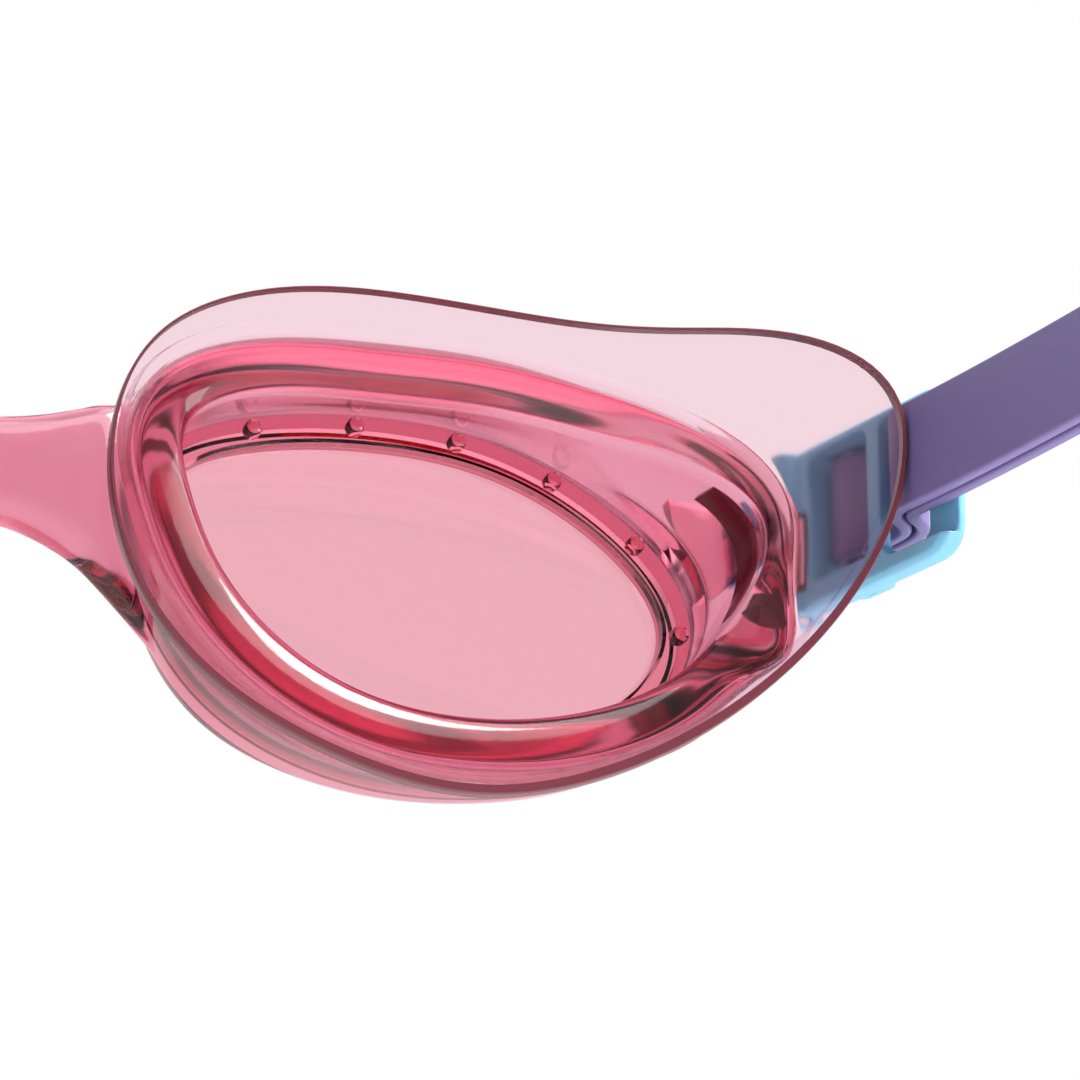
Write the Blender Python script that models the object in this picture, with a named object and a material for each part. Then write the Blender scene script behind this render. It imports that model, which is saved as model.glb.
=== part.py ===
"""Swimming goggles: soft face seals and clear lenses in a flexible frame, with hinged strap clips."""

import math

import bmesh
import bpy
import numpy as np
from mathutils import Vector

# All lengths are millimetres here and become metres in make_object.
# World frame: X across the face, looking along -Y, Z up, origin between the eyes on the face plane.
MM = 0.001
GAP = 0.3
SIDES = (("left", 1), ("right", -1))

# One cup lies in its own frame: p outward from the cup centre, d forward from the face, z up.
CUP_X = 41.0
CUP_WRAP = math.radians(9.0)
CUP_HEART = (2.5, 1.0)
CUP_SPREAD = (31.0, 20.0)
STATIONS = 60

# Outlines in (p, z).
SKIRT_EDGE = [
    (35.2, 12.6), (32.8, 4.3), (25.9, -5.4), (17.6, -12.3), (9.6, -16.4), (0.2, -18.4),
    (-9.7, -16.7), (-19.4, -11.9), (-25.6, -5.2), (-28.3, 2.6), (-27.7, 11.0), (-23.6, 17.1),
    (-14.2, 20.8), (-5.0, 21.2), (5.0, 20.7), (17.3, 21.2), (26.8, 21.7), (33.1, 19.3),
]
EYE_OPENING = [
    (23.8, 4.8), (21.9, -0.6), (17.0, -6.5), (9.6, -10.5), (0.3, -12.0), (-7.6, -11.0),
    (-14.6, -7.4), (-19.6, -1.8), (-22.2, 4.6), (-21.6, 10.2), (-16.8, 12.6), (-8.5, 13.3),
    (0.0, 13.3), (9.0, 12.2), (17.6, 10.4), (22.3, 8.2),
]
WINDOW = [
    (19.2, 0.8), (17.0, -4.4), (12.0, -7.9), (4.5, -9.8), (-3.6, -9.7), (-11.0, -6.9),
    (-16.8, -1.6), (-20.0, 4.6), (-19.8, 10.1), (-14.8, 12.5), (-6.2, 13.7), (3.0, 13.1),
    (11.0, 10.1), (16.6, 5.8),
]

# Depths of the layers of a cup, from the face forward.
SKIRT_THICK = 1.4
SEAL_FRONT = 12.9
LEDGE = SEAL_FRONT + GAP
WINDOW_BACK = 15.4
FLANGE_FRONT = 15.6
LENS_FRONT = 18.0
RIM_FRONT = 18.6

# Offsets outward from the window's outline.
WALL_INSIDE = 2.2
FLANGE_EDGE = 3.1
RIM_OUTSIDE = 4.3
RIM_LIP = 1.7

# The rim's extra width under the bridge: how much, round which angle, over what reach in degrees.
NOSE_BULGE = 1.5
NOSE_AT = -153.0
NOSE_REACH = 33.0

# Room for the lens arm in the rim: along p and in depth.
NOTCH_P = (18.0, 34.0)
NOTCH_D = (10.0, 16.0)

STUD_COUNT = 13
STUD_R = 0.72
STUD_TALL = 1.3
STUD_OFFSET = 1.15
STUD_START = 0.452

# Strap clip: s runs back from its front end, t out from its inner face.
CLIP_FLARE = math.radians(7.0)
CLIP_START = (75.06, 17.0)
CLIP_LONG = 24.4
CLIP_THICK = 2.4
CLIP_Z = (4.6, 18.8)
SLOT_Z = (6.9, 17.8)
WINDOW_S = (5.9, 14.0)
SLOT_S = (15.6, 20.5)
HINGE_ST = (2.4, 1.2)
HINGE_R = 1.0
KNUCKLE_R = 2.3
KNUCKLE_Z = (7.0, 13.0)
BAR_ST = (8.3, 3.6)
BAR_R = 0.9
BAR_FLOOR = 1.7
EAR_ST = ((6.3, 0.8), (11.4, 5.6))
EAR_LOW_Z = (5.6, 7.8)
EAR_HIGH_Z = (17.7, 18.7)
POCKET_LOW = 6.2
POCKET_DEEP = 1.35

# The lens arm from the flange to the hinge, in the cup's frame: p, d, thickness, lowest z, highest z.
ARM_ROUTE = [
    (20.3, 14.3, 1.9, 3.4, 13.6),
    (24.9, 14.35, 1.9, 3.4, 13.6),
    (28.2, 15.6, 2.3, 4.6, 13.4),
    (30.8, 18.2, 2.4, 7.2, 12.8),
]

# Strap: one band folded in two layers, held by a buckle behind the head.
STRAP_TALL = 8.8
STRAP_Z = 12.95
LAYER = 1.1
LAYER_AT = 0.7
FOLD_R = BAR_R + GAP + LAYER / 2
LEAD_LENGTH = 36.0
LEAD_MARKS = [
    (11.0, 3.5), (14.0, 3.4), (16.7, 2.85), (18.0, 1.3), (19.4, -0.2), (21.3, -0.45), (28.0, -0.5),
]
STRAP_ROUTE = [
    (79.6, 34.0), (80.6, 58.0), (79.6, 83.0), (73.8, 107.0), (62.8, 129.5), (48.5, 146.2), (35.5, 155.0),
]
STRAP_BACK_Y = 159.0
STRAP_STRAIGHT = 23.0
ROUTE_STEP = 0.5
BUCKLE_HALF = 13.0
BUCKLE_WALL = 1.8
BUCKLE_EASE = 0.6

SMOOTH_ANGLE = math.radians(32.0)

LOOKS = {
    "soft_pink": ((0.86, 0.36, 0.46), 0.25, 0.0),
    "lens_pink": ((0.92, 0.55, 0.62), 0.08, 0.0),
    "clip_blue": ((0.22, 0.52, 0.70), 0.45, 0.0),
    "strap_purple": ((0.19, 0.14, 0.32), 0.55, 0.0),
    "pin_steel": ((0.62, 0.63, 0.65), 0.30, 1.0),
}


# ---------- small helpers ----------

def clear_scene():
    for obj in list(bpy.data.objects):
        bpy.data.objects.remove(obj, do_unlink=True)


def material(name):
    found = bpy.data.materials.get(name)
    if found:
        return found
    colour, roughness, metallic = LOOKS[name]
    made = bpy.data.materials.new(name)
    made.use_nodes = True
    shader = made.node_tree.nodes["Principled BSDF"]
    shader.inputs["Base Color"].default_value = (*colour, 1.0)
    shader.inputs["Roughness"].default_value = roughness
    shader.inputs["Metallic"].default_value = metallic
    return made


def make_object(name, points, faces, look, origin=(0.0, 0.0, 0.0)):
    """An object from points in world millimetres, with its own origin."""
    local = [(np.array(p) - np.array(origin)) * MM for p in points]
    mesh = bpy.data.meshes.new(name)
    mesh.from_pydata([tuple(p) for p in local], [], faces)
    bm = bmesh.new()
    bm.from_mesh(mesh)
    bmesh.ops.recalc_face_normals(bm, faces=bm.faces)
    bm.to_mesh(mesh)
    bm.free()
    mesh.shade_smooth()
    mesh.set_sharp_from_angle(angle=SMOOTH_ANGLE)
    obj = bpy.data.objects.new(name, mesh)
    obj.location = Vector(origin) * MM
    obj.data.materials.append(material(look))
    bpy.context.collection.objects.link(obj)
    return obj


def boolean(obj, tool, operation):
    """Joins or cuts obj with tool, which stays in the file as a hidden guide."""
    tool.hide_render = True
    tool.display_type = "WIRE"
    step = obj.modifiers.new(f"{operation.lower()}_{tool.name}", "BOOLEAN")
    step.operation = operation
    step.solver = "EXACT"
    step.object = tool


def cubic_through(knots, values, at, period=None):
    """A cubic spline read at the places in at: closed over period, or open with free ends."""
    x = np.asarray(knots, float)
    y = np.asarray(values, float)
    if period is not None:
        x = np.append(x, x[0] + period)
        y = np.append(y, y[0])
    count = len(x)
    h = np.diff(x)
    slope = np.diff(y) / h
    system = np.zeros((count, count))
    right = np.zeros(count)
    for i in range(1, count - 1):
        system[i, i - 1 : i + 2] = h[i - 1], 2 * (h[i - 1] + h[i]), h[i]
        right[i] = 6 * (slope[i] - slope[i - 1])
    if period is None:
        system[0, 0] = 1
        system[-1, -1] = 1
    else:
        system[0, 0], system[0, -1] = 1, -1
        system[-1, 0], system[-1, 1] = 2 * h[0], h[0]
        system[-1, -2], system[-1, -1] = h[-1], 2 * h[-1]
        right[-1] = 6 * (slope[0] - slope[-1])
    bend = np.linalg.solve(system, right)
    q = np.asarray(at, float)
    if period is not None:
        q = x[0] + np.mod(q - x[0], period)
    k = np.clip(np.searchsorted(x, q, side="right") - 1, 0, count - 2)
    u, v = x[k + 1] - q, q - x[k]
    cubic = (bend[k] * u**3 + bend[k + 1] * v**3) / (6 * h[k])
    line = (y[k] / h[k] - bend[k] * h[k] / 6) * u + (y[k + 1] / h[k] - bend[k + 1] * h[k] / 6) * v
    return cubic + line


# ---------- the cup's outlines ----------

def outline(points):
    """A smooth closed outline read at even angles round the cup's heart, so that outlines match up."""
    local = (np.array(points) - CUP_HEART) / CUP_SPREAD
    angle = np.unwrap(np.arctan2(local[:, 1], local[:, 0]))
    radius = np.hypot(local[:, 0], local[:, 1])
    if angle[-1] < angle[0]:
        angle, radius = angle[::-1], radius[::-1]
    at = np.linspace(0, 2 * math.pi, STATIONS, endpoint=False)
    reach = cubic_through(angle, radius, at, 2 * math.pi)
    return np.stack([np.cos(at), np.sin(at)], axis=1) * reach[:, None] * CUP_SPREAD + CUP_HEART


def grown(ring, offset):
    """The ring moved outward by one offset, or by its own offset at each station."""
    along = np.roll(ring, -1, axis=0) - np.roll(ring, 1, axis=0)
    along /= np.linalg.norm(along, axis=1)[:, None]
    return ring + np.reshape(offset, (-1, 1)) * np.stack([along[:, 1], -along[:, 0]], axis=1)


def around(middle, reach):
    """A smooth bump over the stations: 1 at the middle angle, falling away over reach, in degrees."""
    away = np.mod(np.linspace(0, 360, STATIONS, endpoint=False) - middle + 180, 360) - 180
    return np.exp(-((away / reach) ** 2))


SKIRT = outline(SKIRT_EDGE)
OPENING = outline(EYE_OPENING)
PANE = outline(WINDOW)
RIM_OUT = RIM_OUTSIDE + NOSE_BULGE * around(NOSE_AT, NOSE_REACH)


def between(share):
    """A ring part of the way from the eye opening to the skirt's edge."""
    return OPENING + (SKIRT - OPENING) * share


def in_world(side, p, d, z):
    """A point of a cup, in world millimetres."""
    x = CUP_X + p * math.cos(CUP_WRAP) + d * math.sin(CUP_WRAP)
    y = p * math.sin(CUP_WRAP) - d * math.cos(CUP_WRAP)
    return (side * x, y, z)


def ring_points(side, rings):
    return [in_world(side, p, d, z) for ring, d in rings for p, z in ring]


def ring_faces(rings, stations, closed):
    """Quads between successive rings; a closed stack joins its last ring to its first."""
    faces = []
    for r in range(rings if closed else rings - 1):
        for n in range(stations):
            m = (n + 1) % stations
            a, b = r * stations, (r + 1) % rings * stations
            faces.append((a + n, a + m, b + m, b + n))
    return faces


def disc_faces(rings, stations):
    """A stack of rings with a flat face over each end."""
    last = (rings - 1) * stations
    ends = [tuple(range(stations)), tuple(range(last, last + stations))]
    return ring_faces(rings, stations, False) + ends


def rung_faces(start, count):
    """Faces that close a curved rounded section, each joining points at the same height."""
    faces = []
    for i in range(-(count // 4), count // 4):
        corners = [start + k % count for k in (i, i + 1, count // 2 - i - 1, count // 2 - i)]
        faces.append(tuple(dict.fromkeys(corners)))
    return faces


def tube(name, sections, look, origin=(0.0, 0.0, 0.0)):
    """A closed solid through sections of equal point counts, with flat ends."""
    points = [point for section in sections for point in section]
    return make_object(name, points, disc_faces(len(sections), len(sections[0])), look, origin)


def upright_cylinder(name, centre, radius, z, look, sides=24, origin=(0.0, 0.0, 0.0)):
    turn = np.linspace(0, 2 * math.pi, sides, endpoint=False)
    circle = [(centre[0] + radius * math.cos(a), centre[1] + radius * math.sin(a)) for a in turn]
    return tube(name, [[(x, y, level) for x, y in circle] for level in z], look, origin)


# ---------- cup parts ----------

def face_seal(name, side):
    """Thin skirt against the face, rounded lip, and the wall that runs forward to the lens."""
    rings = [
        (SKIRT, 0.45),
        (grown(SKIRT, -0.4), 0.0),
        (between(0.42), 0.0),
        (grown(OPENING, 1.5), 0.15),
        (grown(OPENING, 0.6), 0.8),
        (grown(OPENING, 0.1), 1.8),
        (OPENING, 2.9),
        (grown(PANE, WALL_INSIDE), SEAL_FRONT),
        (grown(PANE, RIM_OUT), SEAL_FRONT),
        (grown(PANE, RIM_OUT), SEAL_FRONT - 2.5),
        (grown(OPENING, 2.9), 5.0),
        (grown(OPENING, 3.3), 3.2),
        (grown(OPENING, 3.6), 2.0),
        (grown(OPENING, 4.2), SKIRT_THICK + 0.1),
        (between(0.80), SKIRT_THICK),
        (grown(SKIRT, -0.3), SKIRT_THICK),
        (SKIRT, SKIRT_THICK - 0.4),
    ]
    return make_object(name, ring_points(side, rings), ring_faces(len(rings), STATIONS, True), "soft_pink")


def lens_rim(name, side):
    """The frame's hook-shaped ring round one lens."""
    lip, hook, out = grown(PANE, RIM_LIP), grown(PANE, FLANGE_EDGE + GAP), grown(PANE, RIM_OUT)
    rings = [
        (lip, FLANGE_FRONT + GAP),
        (hook, FLANGE_FRONT + GAP),
        (hook, LEDGE),
        (out, LEDGE),
        (out, RIM_FRONT - 2.2),
        (grown(PANE, RIM_OUT - 0.7), RIM_FRONT - 0.7),
        (grown(PANE, 2.7), RIM_FRONT),
        (lip, RIM_FRONT - 0.6),
    ]
    return make_object(name, ring_points(side, rings), ring_faces(len(rings), STATIONS, True), "soft_pink")


def slab(name, corners, back, front, side, look):
    """A straight block in a cup's frame: corners in (p, z), from depth back to depth front."""
    sections = [[in_world(side, p, d, z) for p, z in corners] for d in (back, front)]
    return tube(name, sections, look)


def rim_edge_p(z):
    """How far towards the nose the rim's outer face lies at height z."""
    ring = grown(PANE, RIM_OUT - 0.5)
    nose = ring[ring[:, 0] < CUP_HEART[0]]
    order = np.argsort(nose[:, 1])
    return float(np.interp(z, nose[order, 1], nose[order, 0]))


# The bridge's end inside a rim: lowest z, highest z, depth of its middle, thickness.
BRIDGE_END = (-6.3, 16.3, 15.9, 3.4)
BRIDGE_POINTS = 20
SQUARENESS = 0.8


def bridge_section(x, y, low, high, thick):
    """A rounded upright section of the bridge at x, as world points."""
    section = []
    for a in np.linspace(0, 2 * math.pi, BRIDGE_POINTS, endpoint=False):
        c, s = math.cos(a), math.sin(a)
        dy = thick / 2 * math.copysign(abs(c) ** SQUARENESS, c)
        dz = (high - low) / 2 * math.copysign(abs(s) ** SQUARENESS, s)
        section.append((x, -(y + dy), (low + high) / 2 + dz))
    return section


def bridge_end(side):
    """The bridge's last section, which lies just inside the curved rim."""
    low, high, middle, thick = BRIDGE_END
    section = []
    for a in np.linspace(0, 2 * math.pi, BRIDGE_POINTS, endpoint=False):
        c, s = math.cos(a), math.sin(a)
        z = (low + high) / 2 + (high - low) / 2 * math.copysign(abs(s) ** SQUARENESS, s)
        d = middle + thick / 2 * math.copysign(abs(c) ** SQUARENESS, c)
        x, y, z = in_world(side, rim_edge_p(z), d, z)
        section.append((x, y, z))
    return section


# Half of the nose bridge, from its middle out: x, y forward, lowest z, highest z, thickness.
BRIDGE = [
    (0.0, 20.6, 4.8, 12.7, 4.2),
    (6.0, 20.4, 4.7, 12.9, 4.2),
    (10.0, 20.0, 4.4, 13.3, 4.3),
    (13.0, 19.6, 3.4, 13.9, 4.4),
    (15.5, 19.1, 1.9, 14.6, 4.3),
    (17.4, 18.7, 0.1, 15.1, 4.0),
]


def front_frame():
    """One flexible moulding: two rims joined by the nose bridge, notched where the lens arms pass out."""
    right = [bridge_section(-x, y, low, high, t) for x, y, low, high, t in BRIDGE[:0:-1]]
    left = [bridge_section(x, y, low, high, t) for x, y, low, high, t in BRIDGE]
    sections = [bridge_end(-1), *right, *left, bridge_end(1)]
    points = [point for section in sections for point in section]
    count = len(sections[0])
    faces = ring_faces(len(sections), count, False) + rung_faces(0, count)
    faces += rung_faces(len(points) - count, count)
    frame = make_object("front_frame", points, faces, "soft_pink")
    for label, side in SIDES:
        boolean(frame, lens_rim(f"guide_rim_{label}", side), "UNION")
    low, high = ARM_ROUTE[0][3] - GAP, ARM_ROUTE[0][4] + GAP
    corners = [(NOTCH_P[0], low), (NOTCH_P[1], low), (NOTCH_P[1], high), (NOTCH_P[0], high)]
    for label, side in SIDES:
        notch = slab(f"guide_notch_{label}", corners, *NOTCH_D, side, "soft_pink")
        boolean(frame, notch, "DIFFERENCE")


def hinge_centre(side):
    return clip_point(side, HINGE_ST[0], HINGE_ST[1], 0.0)


def lens_arm(name, side):
    """The arm that carries the clip: it leaves the lens flange and turns forward to the hinge."""
    sections = []
    for i, (p, d, thick, low, high) in enumerate(ARM_ROUTE):
        back, ahead = ARM_ROUTE[max(0, i - 1)], ARM_ROUTE[min(len(ARM_ROUTE) - 1, i + 1)]
        lean = math.atan2(ahead[1] - back[1], ahead[0] - back[0])
        q, r = -math.sin(lean) * thick / 2, math.cos(lean) * thick / 2
        corners = [(p - q, d - r, low), (p + q, d + r, low), (p + q, d + r, high), (p - q, d - r, high)]
        sections.append([in_world(side, *corner) for corner in corners])
    x, y, _ = hinge_centre(side)
    reach = np.array(sections[-1])
    middle = reach.mean(axis=0)
    shift = np.array([x, y, middle[2]]) - middle
    sections.append([tuple(corner + shift) for corner in reach])
    return tube(name, sections, "lens_pink")


def studs(name, side):
    """Short interlock studs evenly spaced on the ledge round the window."""
    ring = grown(PANE, STUD_OFFSET)
    loop = np.vstack([ring, ring[:1]])
    run = np.concatenate([[0], np.cumsum(np.linalg.norm(np.diff(loop, axis=0), axis=1))])
    places = np.mod((np.arange(STUD_COUNT) / STUD_COUNT + STUD_START) * run[-1], run[-1])
    points, faces = [], []
    turn = np.linspace(0, 2 * math.pi, 10, endpoint=False)
    for place in places:
        p, z = np.interp(place, run, loop[:, 0]), np.interp(place, run, loop[:, 1])
        start = len(points)
        for d, radius in ((LEDGE + 0.8, STUD_R), (LEDGE - STUD_TALL, STUD_R)):
            points += [in_world(side, p + radius * math.cos(a), d, z + radius * math.sin(a)) for a in turn]
        faces += [tuple(start + i for i in face) for face in disc_faces(2, len(turn))]
    return make_object(name, points, faces, "lens_pink")


def lens(label, side):
    """Clear pane with a raised front, a flange that the frame grips, studs, and the arm to the hinge."""
    rings = [
        (PANE, WINDOW_BACK),
        (PANE, LEDGE),
        (grown(PANE, FLANGE_EDGE), LEDGE),
        (grown(PANE, FLANGE_EDGE), FLANGE_FRONT),
        (grown(PANE, RIM_LIP - GAP), FLANGE_FRONT),
        (grown(PANE, RIM_LIP - GAP), LENS_FRONT - 0.4),
        (grown(PANE, RIM_LIP - GAP - 0.4), LENS_FRONT),
    ]
    faces = disc_faces(len(rings), STATIONS)
    pane = make_object(f"lens_{label}", ring_points(side, rings), faces, "lens_pink")
    x, y, _ = hinge_centre(side)
    boolean(pane, lens_arm(f"guide_arm_{label}", side), "UNION")
    knuckle = upright_cylinder(f"guide_knuckle_{label}", (x, y), KNUCKLE_R, KNUCKLE_Z, "lens_pink")
    boolean(pane, knuckle, "UNION")
    boolean(pane, studs(f"guide_studs_{label}", side), "UNION")
    hole = upright_cylinder(f"guide_lens_hole_{label}", (x, y), HINGE_R + GAP, (0.0, 20.0), "lens_pink")
    boolean(pane, hole, "DIFFERENCE")


# ---------- clips ----------

def clip_point(side, s, t, z):
    """A point of a clip: s back along it, t out from its inner face."""
    x = CLIP_START[0] + s * math.sin(CLIP_FLARE) + t * math.cos(CLIP_FLARE)
    y = -CLIP_START[1] + s * math.cos(CLIP_FLARE) - t * math.sin(CLIP_FLARE)
    return (side * x, y, z)


def rounded_rectangle(low, high, radius, arc=4):
    """Corners of a rectangle in the plane, each turned with the same radius."""
    centres = [
        (high[0] - radius, high[1] - radius, 0),
        (low[0] + radius, high[1] - radius, 90),
        (low[0] + radius, low[1] + radius, 180),
        (high[0] - radius, low[1] + radius, 270),
    ]
    corners = []
    for s, z, start in centres:
        for a in np.radians(np.linspace(start, start + 90, arc + 1)):
            corners.append((s + radius * math.cos(a), z + radius * math.sin(a)))
    return corners


def clip_block(name, side, corners, t, look="clip_blue"):
    """An outline in (s, z) given thickness from the first t to the last."""
    return tube(name, [[clip_point(side, s, level, z) for s, z in corners] for level in t], look)


def clip(label, side):
    """Side plate with a window and a strap slot, knuckles for the hinge and ears for the strap bar."""
    hinge = hinge_centre(side)
    z0, z1 = CLIP_Z
    outer = rounded_rectangle((HINGE_ST[0], z0), (CLIP_LONG, z1), 2.6)
    inset = rounded_rectangle((HINGE_ST[0] + 0.5, z0 + 0.5), (CLIP_LONG - 0.5, z1 - 0.5), 2.2)
    sections = [
        [clip_point(side, s, 0.0, z) for s, z in inset],
        [clip_point(side, s, 0.5, z) for s, z in outer],
        [clip_point(side, s, CLIP_THICK - 0.5, z) for s, z in outer],
        [clip_point(side, s, CLIP_THICK, z) for s, z in inset],
    ]
    body = tube(f"clip_{label}", sections, "clip_blue", hinge)
    for tag, low, high in (("low", z0 + 0.15, 9.0), ("high", 11.0, z1 - 0.15)):
        turned = upright_cylinder(f"guide_{tag}_{label}", hinge[:2], KNUCKLE_R, (low, high), "clip_blue")
        boolean(body, turned, "UNION")
    ear = rounded_rectangle(*EAR_ST, 1.2)
    for tag, heights in (("ear_low", EAR_LOW_Z), ("ear_high", EAR_HIGH_Z)):
        sections = [[clip_point(side, s, t, level) for s, t in ear] for level in heights]
        boolean(body, tube(f"guide_{tag}_{label}", sections, "clip_blue"), "UNION")
    cuts = {
        "window": (
            rounded_rectangle((WINDOW_S[0], SLOT_Z[0]), (WINDOW_S[1], SLOT_Z[1]), 1.0),
            (-2.0, 7.0),
        ),
        "slot": (rounded_rectangle((SLOT_S[0], SLOT_Z[0]), (SLOT_S[1], SLOT_Z[1]), 0.9), (-2.0, 4.0)),
        "pocket": (
            rounded_rectangle((SLOT_S[0] + 0.5, POCKET_LOW), (30.0, SLOT_Z[1] + 0.15), 1.2),
            (-2.0, POCKET_DEEP),
        ),
        "relief": (rounded_rectangle((12.2, SLOT_Z[0] + 0.1), (18.0, SLOT_Z[1] - 0.1), 0.6), (1.4, 4.0)),
    }
    for tag, (corners, t) in cuts.items():
        boolean(body, clip_block(f"guide_{tag}_{label}", side, corners, t), "DIFFERENCE")
    low, high = KNUCKLE_Z[0] - GAP, KNUCKLE_Z[1] + GAP
    notch = [(-3.0, low), (5.1, low), (5.1, high), (-3.0, high)]
    boolean(body, clip_block(f"guide_notch_clip_{label}", side, notch, (-4.0, 6.0)), "DIFFERENCE")
    hole = upright_cylinder(f"guide_clip_hole_{label}", hinge[:2], HINGE_R + GAP, (0.0, 22.0), "clip_blue")
    boolean(body, hole, "DIFFERENCE")
    bar = clip_point(side, *BAR_ST, 0.0)
    heights = (z0 + BAR_FLOOR, 22.0)
    hole = upright_cylinder(f"guide_bar_hole_{label}", bar[:2], BAR_R + GAP, heights, "clip_blue")
    boolean(body, hole, "DIFFERENCE")


def pins(label, side):
    """The hinge pin, and the bar that the strap's fold goes round."""
    hinge = hinge_centre(side)
    z = (CLIP_Z[0] + 0.2, CLIP_Z[1] - 0.2)
    upright_cylinder(f"hinge_pin_{label}", hinge[:2], HINGE_R, z, "pin_steel", 20, hinge)
    bar = clip_point(side, *BAR_ST, 0.0)
    z = (CLIP_Z[0] + BAR_FLOOR + GAP, CLIP_Z[1] - 0.2)
    upright_cylinder(f"strap_bar_{label}", bar[:2], BAR_R, z, "pin_steel", 20, bar)


# ---------- strap ----------

def spaced(route, step):
    """The same smooth route with points every step along it."""
    route = np.asarray(route, float)
    run = np.concatenate([[0], np.cumsum(np.linalg.norm(np.diff(route, axis=0), axis=1))])
    fine = np.linspace(0, run[-1], 600)
    smooth = np.stack([cubic_through(run, route[:, k], fine) for k in range(2)], axis=1)
    length = np.concatenate([[0], np.cumsum(np.linalg.norm(np.diff(smooth, axis=0), axis=1))])
    at = np.linspace(0, length[-1], max(2, int(round(length[-1] / step)) + 1))
    return np.stack([np.interp(at, length, smooth[:, k]) for k in range(2)], axis=1)


def sideways(route):
    """Unit vectors to the right of a plan route."""
    along = np.gradient(route, axis=0)
    along /= np.linalg.norm(along, axis=1)[:, None]
    return np.stack([along[:, 1], -along[:, 0]], axis=1)


def plan(side, route):
    return np.array([(side * x, y) for x, y in route])


def clip_plan(s, t):
    x, y, _ = clip_point(1, s, t, 0.0)
    return (x, y)


def lead_middle():
    """Middle line of the two layers: out of the fold, through the slot, and along the temple."""
    return [clip_plan(s, t) for s, t in LEAD_MARKS] + [STRAP_ROUTE[0]]


def whole_route():
    """The middle line from the clip's fold to the middle of the back, for one side."""
    rear = [(STRAP_STRAIGHT, STRAP_BACK_Y), (STRAP_STRAIGHT - 8, STRAP_BACK_Y)]
    return spaced(lead_middle() + STRAP_ROUTE[1:] + rear, ROUTE_STEP)


def band(name, line, look="strap_purple", tall=STRAP_TALL):
    """A flat strip of one layer's thickness that follows a plan line standing on edge."""
    right = sideways(line)
    half, low, high = LAYER / 2, STRAP_Z - tall / 2, STRAP_Z + tall / 2
    sections = []
    for (x, y), (u, v) in zip(line, right):
        near, far = (x - u * half, y - v * half), (x + u * half, y + v * half)
        sections.append([(*near, low), (*far, low), (*far, high), (*near, high)])
    return tube(name, sections, look)


def layer_line(route, offset):
    """One layer's own middle line, offset to the right of the route."""
    return route + sideways(route) * offset


def fold_line():
    """Once round the strap bar, from the outer layer's start to the inner layer's start."""
    bar = np.array(clip_plan(*BAR_ST))
    ahead = np.array(clip_plan(BAR_ST[0] - 1, BAR_ST[1])) - bar
    out = np.array(clip_plan(BAR_ST[0], BAR_ST[1] + 1)) - bar
    turn = np.radians(np.linspace(80, -80, 11))
    return np.array([bar + FOLD_R * (ahead * math.cos(a) + out * math.sin(a)) for a in turn])


def split_at(route, length):
    """Index of the route's point nearest the given length from its start."""
    run = np.concatenate([[0], np.cumsum(np.linalg.norm(np.diff(route, axis=0), axis=1))])
    return int(np.argmin(abs(run - length)))


def thin(line, keep):
    """Every keep-th point of a line, with its last point."""
    picked = line[::keep]
    return picked if np.allclose(picked[-1], line[-1]) else np.vstack([picked, line[-1:]])


def strap(side_routes):
    """The strap's solids: a folded lead in each clip, outer runs to the buckle, one inner run behind."""
    route = whole_route()
    cut = split_at(route, LEAD_LENGTH)
    gap = math.ceil(GAP / ROUTE_STEP)
    outer, inner = layer_line(route, LAYER_AT), layer_line(route, -LAYER_AT)
    for label, side in side_routes:
        lead = np.vstack([thin(outer[: cut + 1], 4)[::-1], fold_line(), thin(inner[: cut + 1], 4)])
        band(f"strap_lead_{label}", plan(side, lead))
        run = thin(outer[cut + gap :], 10)
        end = np.array([(1.2, STRAP_BACK_Y + LAYER_AT)])
        band(f"strap_outer_{label}", plan(side, np.vstack([run, end])))
    half = thin(inner[cut + gap :], 10)
    loop = np.vstack([plan(1, half), plan(-1, half)[::-1]])
    band("strap_inner", loop)


def rear_buckle():
    """A short sleeve on the two layers behind the head."""
    inner_y = STRAP_BACK_Y - LAYER_AT - LAYER / 2 - GAP
    outer_y = STRAP_BACK_Y + LAYER_AT + LAYER / 2 + GAP
    low, high = STRAP_Z - STRAP_TALL / 2 - GAP, STRAP_Z + STRAP_TALL / 2 + GAP
    wall, ease, far = BUCKLE_WALL, BUCKLE_EASE, BUCKLE_HALF + 5
    full = rounded_rectangle((inner_y - wall, low - wall), (outer_y + wall, high + wall), 1.4)
    wall -= ease
    bare = rounded_rectangle((inner_y - wall, low - wall), (outer_y + wall, high + wall), 0.9)
    ends = [(-BUCKLE_HALF, bare), (ease - BUCKLE_HALF, full), (BUCKLE_HALF - ease, full), (BUCKLE_HALF, bare)]
    body = tube("rear_buckle", [[(x, y, z) for y, z in ring] for x, ring in ends], "clip_blue")
    hole = [(inner_y, low), (outer_y, low), (outer_y, high), (inner_y, high)]
    cutter = tube("guide_buckle_hole", [[(x, y, z) for y, z in hole] for x in (-far, far)], "clip_blue")
    boolean(body, cutter, "DIFFERENCE")


def build():
    clear_scene()
    front_frame()
    for label, side in SIDES:
        face_seal(f"face_seal_{label}", side)
        lens(label, side)
        clip(label, side)
        pins(label, side)
    strap(SIDES)
    rear_buckle()


build()
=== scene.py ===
"""Looks of the swimming goggles: translucent pink frame and lenses, blue clips, purple strap."""

import math

import bmesh
import bpy
import numpy as np
from mathutils import Matrix, Vector


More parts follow.
